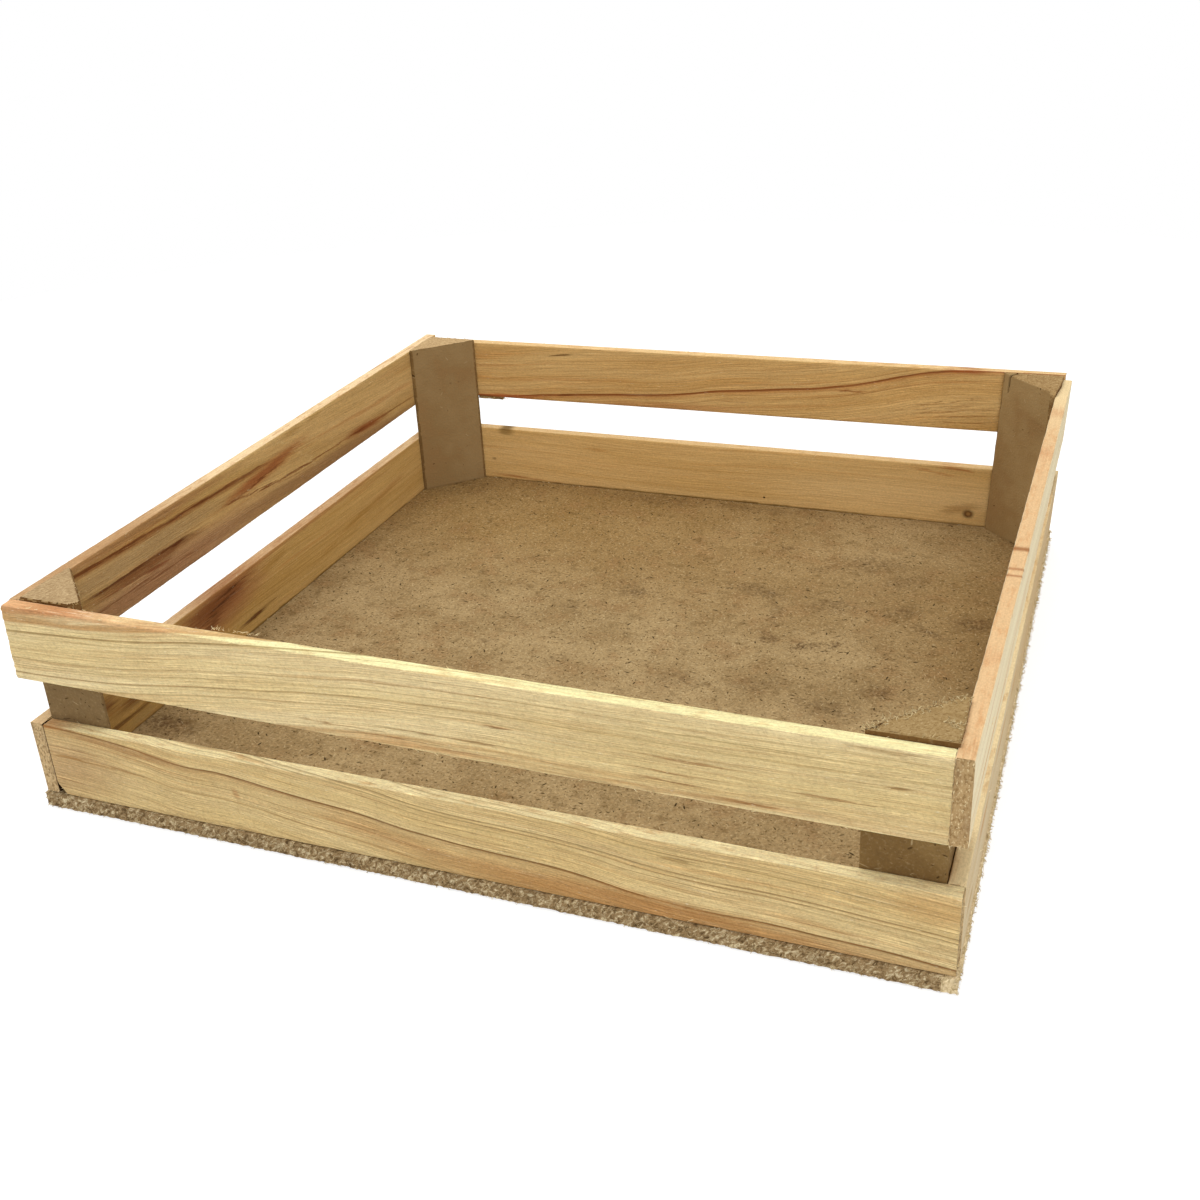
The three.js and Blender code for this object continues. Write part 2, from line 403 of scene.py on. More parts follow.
def panel_wear(point, normal):
    """The sawn edges are fuzzy, and their corners more so. The faces are flat."""
    if abs(normal.z) > 0.9:
        return 0
    torn = 0.7 * grown(point, PANEL_TUFT) + 0.5 * grown(point, 4 * PANEL_TUFT)
    at_corner = 1.3 if abs(normal.z) > 0.3 else 1
    return PANEL_BODY_INSET + PANEL_TUFT_DEPTH * torn * at_corner


wear(panel, panel_wear)
for material in (floor_board, sawn_board, sawn_board_right_painted_lit):
    panel.data.materials.append(material)
# Faces on the sawn rim take the sawn edge, and on the right edge its paler, painted-light copy
on_rim = {i for face in panel.data.polygons if abs(face.normal.z) < 0.9 for i in face.vertices}
for face in panel.data.polygons:
    if any(i in on_rim for i in face.vertices):
        face.material_index = 2 if face.center.x > RIGHT_EDGE_FROM else 1
smooth(panel, 60)

torn_fibre = curled_fibre("torn_fibre", TORN_FIBRE_LENGTH, TORN_FIBRE_THICKNESS, 80, loose_fibre, slices=3)
dice = random.Random(1)
rim_points = [vertex for vertex in panel.data.vertices if abs(vertex.normal.z) < 0.8]
right_points = [vertex for vertex in rim_points if vertex.normal.x > 0.5]
rim_roots = []
for vertex in dice.sample(rim_points, PANEL_FIBRES) + dice.sample(right_points, RIGHT_EDGE_FIBRES):
    lean = drawn(dice, (-1, 1), (-1, 1), (-0.9, 0.5))
    longer = RIGHT_EDGE_FIBRES_LONGER if vertex.normal.x > 0.5 else 1.0
    rim_roots.append(root(dice, vertex.co - TORN_FIBRE_ROOT * vertex.normal,
                          lean + 0.55 * longer * vertex.normal, 0.45 * longer, 1.15 * longer))
plant(panel, torn_fibre, rim_roots)
seat(panel, "floor_panel")


# Corner posts. Halves of a 23 mm stick of MDF sawn in two on the diagonal, with the right angle set in the
# crate's corner and glued to the slats. Their tops were cut off by hand, so each stands a different way
# above the slats and shows torn fibres, and their thin edges are blunt.
POST_BLUNT = 1.2 * MM
POST_MESH = 0.5 * MM
RIGHT_WALL_LEAN = 3.3 * MM
LEAN_TOP = 75.5 * MM
GLUE_SQUEEZED_OUT = 0.42 * MM
DARKER_FROM = 73.5 * MM
BROKEN_CORNER = (-127 * MM, -142.9 * MM)
RUBBED_ROUND = 2.0 * MM
CRACK_WIDTH = 0.8 * MM
CRACK_LENGTH = 8 * MM
CRACK_DEPTH = 2.2 * MM
CRACK_REACH = 4 * MM
CRACK_DARK_FROM = 0.7 * MM
CRACK_FROM_THIN_EDGE = 2.6 * MM
CHIP_LENGTH = 4.5 * MM
CHIP_DEPTH = 1.8 * MM
OVERHANG_HEIGHT = 0.5 * MM
OVERHANG_REACH = 2.2 * MM
OVERHANG_TAPER = 14 * MM
FLUFF_MIDDLE = Vector((143.6, -135.8, 0)) * MM

# For each post: the side of the crate it is on in X and Y, how far its torn top stands up and lies over
# onto the slat beside it, and how many loose fibres it has
POSTS = {
    "front_left": (-1, -1, 0.45 * MM, 1.1 * MM, 25),
    "front_right": (1, -1, -0.25 * MM, 0.8 * MM, 40),
    "back_left": (-1, 1, 0.45 * MM, 0.3 * MM, 20),
    "back_right": (1, 1, 0.45 * MM, 1.8 * MM, 20),
}

ALONG_RISING_FACE = (-90, -45, 0)
ALONG_FALLING_FACE = (-90, 45, 0)
post_faces = {}
post_tops = {}
# Each corner has its own copy of the post face and top, lighter or darker as the light falls on that corner:
# painted light and shade
for corner, lie, pale, brown, top_pale, top_brown, top_dark in (
        ("front_left", ALONG_FALLING_FACE, "#A0865A", "#967B4F", "#C1A880", "#A98E67", "#8B714F"),
        ("front_right", ALONG_RISING_FACE, "#9B7E56", "#91734B", "#A99066", "#987E53", "#7C6139"),
        ("back_left", ALONG_RISING_FACE, "#997F57", "#8F744C", "#CDB286", "#B4966B", "#947752"),
        ("back_right", ALONG_FALLING_FACE, "#AB8F62", "#A18356", "#B4986C", "#9A7C50", "#7A5D38")):
    post_faces[corner] = pressed_board("mdf_post_" + corner, pale=pale, brown=brown, red="#967249",
                                       fleck="#745A3A", lie=lie, loose=0.06)
    post_tops[corner] = torn_board("mdf_post_top_" + corner, pale=top_pale, brown=top_brown, dark=top_dark,
                                   bump=0.15 * MM, tuft=0.8)
# The front left post's glued side is a paler copy, painted light against the shade of its recess behind the
# front slats
post_side, post_side_front_left_painted_lighter, post_side_top = [
    pressed_board(name, pale=pale, brown=brown, red=brown, fleck="#4C3820", lie=ALONG_RISING_FACE, loose=0.4)
    for name, pale, brown in (("mdf_post_glued_side", "#876C42", "#765B35"),
                              ("mdf_post_glued_side_front_left_painted_lighter", "#8F7752", "#7E6644"),
                              ("mdf_post_side_by_top", "#755630", "#664724"))
]
# Open joints and the deep of the crack are very dark: dust and old glue, and painted shade where little light
# gets in
joint_dust_and_painted_shade = torn_board("joint_dust_and_painted_shade", pale="#4A3218", brown="#2E1E0E", dark="#140C06", bump=0.1 * MM)


def right_wall_inset(point):
    """How far the right wall stands in at a point: most at the foot of its back end."""
    crate_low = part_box("slat_upper_right")[0]
    towards_back = (point.y - crate_low.y) / (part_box("slat_lower_right")[1].y - crate_low.y)
    return RIGHT_WALL_LEAN * towards_back * (LEAN_TOP - point.z) / LEAN_TOP


def upright_box(corner):
    """The two far corners of a post as it stood before it leaned with the right wall."""
    points = [vertex.co.copy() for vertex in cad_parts["post_" + corner].data.vertices]
    if corner.endswith("right"):
        for point in points:
            point.x += right_wall_inset(point)
    return [Vector(end(point[axis] for point in points) for axis in range(3)) for end in (min, max)]


def saw_post(corner, side_x, side_y):
    """One post: a square stick sawn on the diagonal. The sides say which corner its right angle is in. The
    right-hand ones lean with their wall, and squeezed-out glue fills most of the line between."""
    low, high = upright_box(corner)
    if side_x > 0:
        high.x += GLUE_SQUEEZED_OUT
    post = block("post_" + corner + "_stick", (low + high) / 2, high - low)
    thin_edge = Vector((low.x if side_x > 0 else high.x,
                        (high.y if side_y > 0 else low.y) - side_y * POST_BLUNT, 0))
    pick(post, "FACE", lambda face: True)
    edit(post, bpy.ops.mesh.bisect, plane_co=thin_edge, plane_no=(-side_x, -side_y, 0),
         use_fill=True, clear_outer=True)
    if side_x > 0:
        for vertex in post.data.vertices:
            vertex.co.x -= right_wall_inset(vertex.co)
    return post


def crack_at(point):
    """How deep the crack is that splits the back right post from its top down, beside its thin edge."""
    low, high = back_right_box
    mouth = Vector((low.x + CRACK_FROM_THIN_EDGE, high.y - POST_BLUNT - CRACK_FROM_THIN_EDGE, 0))
    upright_x = point.x + right_wall_inset(point)
    beside = (upright_x - mouth.x - point.y + mouth.y) / math.sqrt(2)
    inward = (upright_x - mouth.x + point.y - mouth.y) / math.sqrt(2)
    still_open = 1 - (high.z - point.z) / CRACK_LENGTH
    if still_open <= 0 or abs(inward) > CRACK_REACH:
        return 0
    return CRACK_DEPTH * max(0, 1 - abs(beside) / (CRACK_WIDTH * math.sqrt(still_open)))


def post_wear(corner, lift, point, normal):
    """The long face is sanded nearly flat and the others are rougher. The top is torn, and its fibres stand
    up a little past the saw's cut."""
    sanded = abs(abs(normal.x) - abs(normal.y)) < 0.3
    rub = (0.1 if sanded else 0.4) * MM * grown(point, 2.5 * MM) + crack_at(point)
    lift = min(lift, cad_box[1].z - point.z + 0.1 * MM)
    if corner == "front_right" and normal.z > 0.2:
        lift -= CHIP_DEPTH * max(0, 1 - (point.x - front_right_box[0].x) / CHIP_LENGTH)
    if normal.z > 0.8:
        return rub + 0.35 * MM * grown(point, 1.6 * MM) - lift
    if normal.z > 0.2:
        return rub + 0.5 * MM * grown(point, 1.8 * MM) - lift / 2
    return rub


back_right_box = upright_box("back_right")
front_right_box = upright_box("front_right")
posts = {corner: saw_post(corner, side_x, side_y) for corner, (side_x, side_y, *_) in POSTS.items()}

# The front left post's thin edge is broken off at the top, and the back right one's is rubbed round
pick(posts["front_left"], "FACE", lambda face: True)
edit(posts["front_left"], bpy.ops.mesh.bisect, plane_co=(*BROKEN_CORNER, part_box("post_front_left")[1].z),
     plane_no=(1, -1, 1.5), use_fill=True, clear_outer=True)
rubbed = [point.co for point in posts["back_right"].data.vertices]
rubbed_before = back_right_box[0].y + POST_BLUNT / 2
rubbed_above = back_right_box[1].z - POST_BLUNT
pick(posts["back_right"], "EDGE",
     lambda edge: all(rubbed[i].y < rubbed_before and rubbed[i].z > rubbed_above for i in edge.vertices))
edit(posts["back_right"], bpy.ops.mesh.bevel, offset=RUBBED_ROUND, segments=4, affect="EDGES")

short_fibre = curled_fibre("short_fibre", TORN_FIBRE_LENGTH, TORN_FIBRE_THICKNESS, 110, loose_fibre)
for corner, (side_x, side_y, lift, overhang, fibres) in POSTS.items():
    post = posts[corner]
    shaped(post, "REMESH", mode="VOXEL", voxel_size=POST_MESH)
    wear(post, lambda point, normal: post_wear(corner, lift, point, normal))
    side = post_side_front_left_painted_lighter if corner == "front_left" else post_side
    for material in (post_faces[corner], post_tops[corner], side, post_side_top, joint_dust_and_painted_shade):
        post.data.materials.append(material)
    for face in post.data.polygons:
        on_side = max(abs(face.normal.x), side_y * face.normal.y, side_x * face.normal.y) > 0.9
        glued = max(side_x * face.normal.x, side_y * face.normal.y) > 0.9
        broken = corner == "front_left" and face.normal.z > 0.3 and face.normal.x > 0.3
        # The back right post's blunt thin edge takes the paler top finish, painted light against the shade it
        # lies in
        painted_light_rim = corner == "back_right" and face.normal.y < -0.9
        # The deep faces of the crack take the dark joint finish, painted shade inside the crack
        if corner == "back_right" and crack_at(face.center) > CRACK_DARK_FROM:
            face.material_index = 4
        elif broken or glued and face.center.z > DARKER_FROM:
            face.material_index = 3
        elif painted_light_rim or face.normal.z > 0.6:
            face.material_index = 1
        elif on_side:
            face.material_index = 2

    # Its torn top lies over onto the slat beside it, the back right one's the most
    low, high = upright_box(corner)
    slat_side = high.x if side_x > 0 else low.x
    thin_end = low.y if side_y > 0 else high.y
    for vertex in post.data.vertices:
        above = min(max((vertex.co.z - LEAN_TOP) / OVERHANG_HEIGHT + 2.5, 0), 1)
        beside = min(max(1 - abs(vertex.co.x - slat_side) / OVERHANG_REACH, 0), 1)
        tapered = min(1, 0.15 + abs(vertex.co.y - thin_end) / OVERHANG_TAPER)
        vertex.co.x += side_x * overhang * above * beside * tapered
    smooth(post, 50)
    dice = random.Random(len(corner) + fibres)
    torn_edge = [vertex for vertex in post.data.vertices if 0.3 < vertex.normal.z < 0.95]
    plant(post, short_fibre, [
        root(dice, vertex.co.copy(), drawn(dice, (-1, 1), (-1, 1), 0.25), 0.4, 1.0)
        for vertex in dice.sample(torn_edge, fibres)
    ])

# White fibres lie along the front right post's long edge, with one curl and a tuft of fluff on its top
low, high = front_right_box
front_right_top = high.z - 0.45 * MM
dice = random.Random(12)
lying = []
for _ in range(90):
    share = dice.random() ** 1.4
    place = Vector((low.x + share * (high.x - low.x), low.y + share * (high.y - low.y), front_right_top))
    place += drawn(dice, (-1.5, 1.5), (-1.2, 1.8), 0) * MM
    lying.append(root(dice, place, drawn(dice, (-1, 1), (-1, 1), 0.3), 0.5, 1.3))
for _ in range(24):
    place = FLUFF_MIDDLE + drawn(dice, (-1.4, 1.4), (-1.6, 1.6), 0) * MM
    place.z = front_right_top
    lying.append(root(dice, place, drawn(dice, (-1, 1), (-1, 1), 0.5), 0.6, 1.2))
lying.append((Vector((140.2 * MM, -135.1 * MM, front_right_top)), Vector((1, 0.1, 0.25)), 0, 2.2))
plant(posts["front_right"], short_fibre, lying)
for corner, post in posts.items():
    seat(post, "post_" + corner)


# Lower front slat. Thin strips of pine 26.5 mm wide and under 5 mm thick are ripped on a saw and used as they
# came off it, glued on flat with no nails. This one covers the right lower slat's end. A dark growth line
# falls along it, reddish under the line and pale above.
SLAT_EDGE_ROUND = 0.3 * MM
SLAT_GRID = (0.75 * MM, 0.9 * MM, 1.2 * MM)
END_ROUGHNESS = 0.6 * MM
SLAT_BOW = 0.14 * MM
SPLINTER_LENGTH = 2.4 * MM
SPLINTER_THICKNESS = 0.24 * MM
SAW_END_GAP = 0.6 * MM
SLAT_END = 150
CURVE_TOP = 100
RING_SLOPE = 0.8
GRAIN_SWAY = 1.6
RAGGED_ALONG = 26
RAGGED_ACROSS = 2.4
SHORTEST_RAGGED = 6


def sawn_pine(name, along, face, pale, tan, line, blush, edge, course, rings, marks, seed, end="#D2B688",
              streaks=1.0):
    """Rough-sawn unfinished pine: pale wood with thin brown growth lines, short fibres and a dull face. Edge
    and end are the colours of its sawn edges and end grain.
    The growth lines follow course, points of run and height in mm on the face that stands at that depth, its
    two ends first. A ring is a growth line above or below it: level, how far it fades in from below, how far
    it fades out above, colour and strength. A mark is a streak or stain: colour, middle as run and height,
    half lengths, strength, and turn in degrees if it has one. The longer ones are ragged. Streaks is how
    plain the thin lines are."""
    material, tree = new_material(name)
    place = place_in_mm(tree, (0, 0, 0 if along == "x" else -90))
    parts = add(tree, "SeparateXYZ", {"Vector": place}).node.outputs
    run, depth, height = parts["X"], parts["Y"], parts["Z"]

    # Where a point lies across the grain: its height over the course, and its depth, as rings run inward too
    along_slat = add(tree, "MapRange", {"Value": run, "From Min": -SLAT_END, "From Max": SLAT_END})
    course_height = add(tree, "FloatCurve", {"Value": along_slat})
    curve = course_height.node.mapping.curves[0]
    for i, (at, level) in enumerate(course):
        spot = curve.points[i] if i < 2 else curve.points.new(0.5, 0.5)
        spot.location = (at / SLAT_END / 2 + 0.5, level / CURVE_TOP)
    course_height.node.mapping.update()
    across = add(tree, "Math", {0: course_height, 1: -CURVE_TOP, 2: height}, operation="MULTIPLY_ADD")
    inward = add(tree, "Math", {0: depth, 1: RING_SLOPE, 2: -RING_SLOPE * face}, operation="MULTIPLY_ADD")
    sway = cloudy(tree, place, (60, 30, 16), 0.0, 1.0, GRAIN_SWAY, seed=seed)
    for part in (inward, sway, -GRAIN_SWAY / 2):
        across = add(tree, "Math", {0: across, 1: part}, operation="ADD")
    grain = add(tree, "CombineXYZ", {"X": run, "Y": depth, "Z": across})

    # Growth lines: each year ends in a thin brown line, 2 mm apart or so. Over them lie the saw's own strokes
    years_place = add(tree, "Mapping", {"Vector": grain, "Location": (seed, seed, seed),
                                        "Scale": (1 / 150, 1 / 60, 1 / 5.6)})
    year = add(tree, "TexWave", {"Vector": years_place, "Scale": 1.0, "Distortion": 1.4, "Detail": 2.0,
                                 "Detail Scale": 1.3}, out="Fac", wave_type="BANDS", bands_direction="Z",
               wave_profile="SAW")
    late_wood = add(tree, "MapRange", {"Value": year, "From Min": 0.86, "From Max": 1.0,
                                       "To Max": 0.4 * streaks}, interpolation_type="SMOOTHSTEP")
    fading = cloudy(tree, grain, (45, 12, 3), 0.42, 0.62, detail=3, seed=seed + 4)
    late_wood = add(tree, "Math", {0: late_wood, 1: fading}, operation="MULTIPLY")
    fibres = cloudy(tree, grain, (16, 0.7, 0.3), 0.34, 0.66, detail=5, seed=seed)
    strokes = add(tree, "Mapping", {"Vector": place, "Rotation": (0, math.radians(22), 0)})
    facing = add(tree, "SeparateXYZ", {"Vector": add(tree, "TexCoord", out="Normal")}).node.outputs
    upward = add(tree, "Math", {0: facing["Z"]}, operation="ABSOLUTE")
    on_edge = add(tree, "MapRange", {"Value": upward, "From Min": 0.55, "From Max": 0.85, "To Max": 0.88})

    mottled = cloudy(tree, place, (7, 2.2, 2.2), 0.5, 0.68, 0.5, detail=4, seed=seed + 12)
    mottled = add(tree, "Math", {0: mottled, 1: on_edge}, operation="MULTIPLY")
    colour = painted(
        tree, linear(pale),
        (tan, cloudy(tree, grain, (140, 30, 9), 0.3, 0.7, seed=seed + 1)),
        (edge, on_edge),
        (blush, mottled),
        (blush, cloudy(tree, grain, (80, 8, 2.4), 0.54, 0.74, 0.4, detail=3, seed=seed + 2)),
        (line, late_wood))
    for level, under, over, shade, strength in rings:
        rising = add(tree, "MapRange", {"Value": across, "From Min": level - under, "From Max": level,
                                        "To Max": strength}, interpolation_type="SMOOTHSTEP")
        ending = add(tree, "MapRange", {"Value": across, "From Min": level, "From Max": level + over,
                                        "To Min": 1.0, "To Max": 0.0}, interpolation_type="SMOOTHSTEP")
        broken = cloudy(tree, grain, (30, 6, 1.6), 0.24, 0.44, detail=3, seed=seed + level)
        ring = add(tree, "Math", {0: rising, 1: ending}, operation="MULTIPLY")
        ring = add(tree, "Math", {0: ring, 1: broken}, operation="MULTIPLY")
        colour = painted(tree, colour, (shade, ring))
    warp = add(tree, "Mapping", {"Vector": grain, "Scale": (1 / 12, 1, 1 / 0.8)})
    warp = add(tree, "TexNoise", {"Vector": warp, "Scale": 1.0, "Detail": 4, "Roughness": 0.65}, out="Color")
    ragged = add(tree, "VectorMath", {0: warp, 1: (RAGGED_ALONG, 0, RAGGED_ACROSS), 2: place},
                 operation="MULTIPLY_ADD")
    ragged = add(tree, "SeparateXYZ", {"Vector": ragged}).node.outputs
    face_place = add(tree, "CombineXYZ", {"X": ragged["X"], "Y": ragged["Z"]})
    plain_place = add(tree, "CombineXYZ", {"X": run, "Y": height})
    for shade, at, level, *shape in marks:
        if shape[0] < SHORTEST_RAGGED:
            mask = patch(tree, plain_place, at, level, *shape)
        else:
            mask = patch(tree, face_place, at + RAGGED_ALONG / 2, level + RAGGED_ACROSS / 2, *shape)
        colour = painted(tree, colour, (shade, mask))
    off_edge = add(tree, "MapRange", {"Value": upward, "From Min": 0.55, "From Max": 0.85, "To Min": 1.0,
                                      "To Max": 0.45})
    for lumps, low, high, most, step in (((70, 2, 0.5), 0.52, 0.6, 0.3, 5),
                                         ((36, 2, 0.3), 0.54, 0.62, 0.34, 10),
                                         ((9, 1, 0.2), 0.6, 0.72, 0.5, 6)):
        thin = cloudy(tree, grain, lumps, low, high, most * streaks, detail=3, seed=seed + step)
        thin = add(tree, "Math", {0: thin, 1: off_edge}, operation="MULTIPLY")
        colour = painted(tree, colour, (line, thin))
    # Pale fibre strokes, the saw's own strokes, and small pale spots that are painted glints of torn fuzz
    # catching the light
    colour = painted(
        tree, colour,
        ("#FFF4D2", cloudy(tree, grain, (24, 2, 0.28), 0.58, 0.74, 0.25 * streaks, detail=3, seed=seed + 3)),
        (line, cloudy(tree, strokes, (0.5, 1.0, 3.0), 0.52, 0.76, 0.2 * streaks, seed=seed + 8)),
        ("#FFF4D2", cloudy(tree, grain, (2.2, 0.6, 0.5), 0.66, 0.78, 0.5 * streaks, seed=seed + 7)))
    light = add(tree, "MapRange", {"Value": fibres, "To Min": 0.97 - 0.06 * streaks,
                                   "To Max": 1.03 + 0.08 * streaks})
    speckle = cloudy(tree, place, (0.9, 0.6, 0.45), 0.3, 0.7, detail=3, seed=seed + 9)
    speckle = add(tree, "MapRange", {"Value": speckle, "To Min": 0.92, "To Max": 1.1})
    light = add(tree, "Math", {0: light, 1: speckle}, operation="MULTIPLY")
    colour = add(tree, "VectorMath", {0: colour, "Scale": light}, operation="SCALE")

    # End grain: open pores and torn fuzz, greyer than the face
    endward = add(tree, "Math", {0: facing["X" if along == "x" else "Y"]}, operation="ABSOLUTE")
    on_end = add(tree, "MapRange", {"Value": endward, "From Min": 0.6, "From Max": 0.85, "To Max": 1.0})
    end_colour = painted(
        tree, linear(end),
        ("#84663E", cloudy(tree, place, (0.9, 0.9, 1.4), 0.46, 0.62, 0.75, detail=3, seed=seed)),
        ("#EAD6A8", cloudy(tree, place, (0.6, 0.6, 0.9), 0.54, 0.7, 0.8, detail=3, seed=seed + 1)),
        ("#9A7F5C", cloudy(tree, place, (5, 5, 7), 0.45, 0.65, 0.5, seed=seed + 2)))
    colour = add(tree, "Mix", {0: on_end, 6: colour, 7: end_colour}, out=2, data_type="RGBA")
    finish_material(tree, colour, 0.85, fibres, 0.22 * MM * streaks)
    return material


pine_splinter = torn_board("pine_splinter", pale="#FFF3CE", brown="#F2DFAE", dark="#DDBE84", bump=0.05 * MM)
splinter = curled_fibre("splinter", SPLINTER_LENGTH, SPLINTER_THICKNESS, 35, pine_splinter)


def rip_slat(node, along, material, seed, splinters=60, chips=(), end_gap=0.0, furrows=0.1 * MM):
    """One slat: a block with rounded edges, cut into fine slices, then left as the saw leaves it, with
    splinters on its edges. A chip is a place and a reach in mm where the slat's end is broken away. The
    ends reach past the block by end_gap, to fill the gap to the next slat. Furrows is how deep the saw's
    marks along it are."""
    slat = block_on(node, node + "_strip")
    run = 0 if along == "x" else 1
    pick(slat, "EDGE", lambda edge: True)
    edit(slat, bpy.ops.mesh.bevel, offset=SLAT_EDGE_ROUND, segments=2, affect="EDGES")
    cut_across(slat, run, SLAT_GRID[0])
    cut_across(slat, 2, SLAT_GRID[1])
    cut_across(slat, 1 - run, SLAT_GRID[2])
    stretch = (22, 1, 1) if run == 0 else (1, 22, 1)

    def saw_wear(point, normal):
        moved = point + Vector((seed, seed, seed))
        if abs(normal[run]) > 0.7:
            return END_ROUGHNESS * grown(moved, 0.9 * MM) - end_gap
        bow = SLAT_BOW * grown(moved, 38 * MM) - 0.13 * MM
        furrow = furrows * grown(moved, 0.9 * MM, stretch)
        on_edge = min(abs(normal.z), abs(normal[1 - run])) > 0.2
        rough = 2.4 if normal.z < 0 else 1.0
        chipped = max(0.0, grown(moved, 1.3 * MM) - 0.56) * rough * MM if on_edge else 0
        return bow + furrow + chipped

    wear(slat, saw_wear)
    for place, reach in chips:
        for vertex in slat.data.vertices:
            near = 1 - (vertex.co / MM - Vector(place)).length / reach
            if near > 0:
                vertex.co[run] += 0.8 * reach * MM * near * (1 if place[run] < 0 else -1)
    slat.data.materials.append(material)
    smooth(slat, 50)
    dice = random.Random(seed)
    edges = [vertex for vertex in slat.data.vertices if 0.3 < abs(vertex.normal.z) < 0.95]
    faces = [vertex for vertex in slat.data.vertices if abs(vertex.normal.z) < 0.1]
    roots = []
    for vertex in dice.sample(edges, splinters) + dice.sample(faces, splinters // 2):
        lean = drawn(dice, (-0.3, 0.3), (-0.3, 0.3), (-0.3, 0.3))
        lean[run] = dice.choice((-1, 1))
        roots.append(root(dice, vertex.co - 0.1 * MM * vertex.normal, lean + 0.12 * vertex.normal, 0.3, 0.9))
    plant(slat, splinter, roots)
    seat(slat, node)
    return slat


pine_front_lower = sawn_pine(
    "pine_front_lower", "x", -148.5, seed=2.3,
    pale="#F2D99F", tan="#E8CB8D", line="#9A6434", blush="#CB9456", edge="#FFEDB6",
    course=(
        (-150, 33.2), (150, 8), (-130, 32.4), (-110, 30), (-93, 27.3), (-75, 26.8), (-50, 23.5),
        (-25, 21.2), (-10, 18.9), (20, 16.7), (40, 15.3), (65, 12.3), (80, 11.6), (100, 11.4), (125, 10)),
    rings=(
        (0, 5, 0.25, "#C0935C", 0.45), (0, 0.9, 0.35, "#70491F", 0.85), (7.2, 0.5, 0.3, "#93703C", 0.35),
        (9, 0.6, 0.3, "#8A6532", 0.55), (10.4, 0.7, 0.3, "#7E5A2A", 0.6), (16.4, 0.6, 0.3, "#93703C", 0.5),
        (18, 0.5, 0.3, "#93703C", 0.4), (-5.5, 0.5, 0.4, "#A97B45", 0.35), (-10, 0.7, 0.4, "#A06E38", 0.5)),
    marks=(
        ("#BE8549", 70, 7, 125, 7.5, 0.75, -3), ("#B98C5C", -112, 28.5, 38, 2.2, 0.6, -7),
        ("#BE9468", -150, 18, 50, 17, 0.55), ("#B9824C", -25, 16, 32, 4, 0.45, -8),
        ("#C07F4C", -73, 20, 1.6, 3, 0.45, 20), ("#CC985A", 143, 27, 18, 8, 0.4),
        ("#B87A42", -146, 33, 18, 1.6, 0.7), ("#A87A42", -135, 21.5, 12, 0.6, 0.6, -2),
        ("#A87A42", -120, 20.6, 26, 0.5, 0.5, -4), ("#8E6A36", 72, 27, 7, 0.8, 0.6, -6),
        ("#A87A42", 118, 13, 10, 0.6, 0.4, -3)))
lower_front = rip_slat("slat_lower_front", "x", pine_front_lower, 1, chips=(((-145.3, -148.5, 6), 4.2),),
                       end_gap=-0.2 * MM)


def dust_and_painted_shade_on(slat, wanted):
    """Darkens the sawn faces of a slat that wanted(face) is true for, with dust and painted shade."""
    slat.data.materials.append(joint_dust_and_painted_shade)
    for face in slat.data.polygons:
        if face.material_index == 0 and wanted(face):
            face.material_index = 2


# Its left end stands off the left slat, and the open joint is painted dark: dust and old glue, and painted
# shade in the gap
dust_and_painted_shade_on(lower_front, lambda face: face.normal.x < -0.5 and face.center.x < -140 * MM)


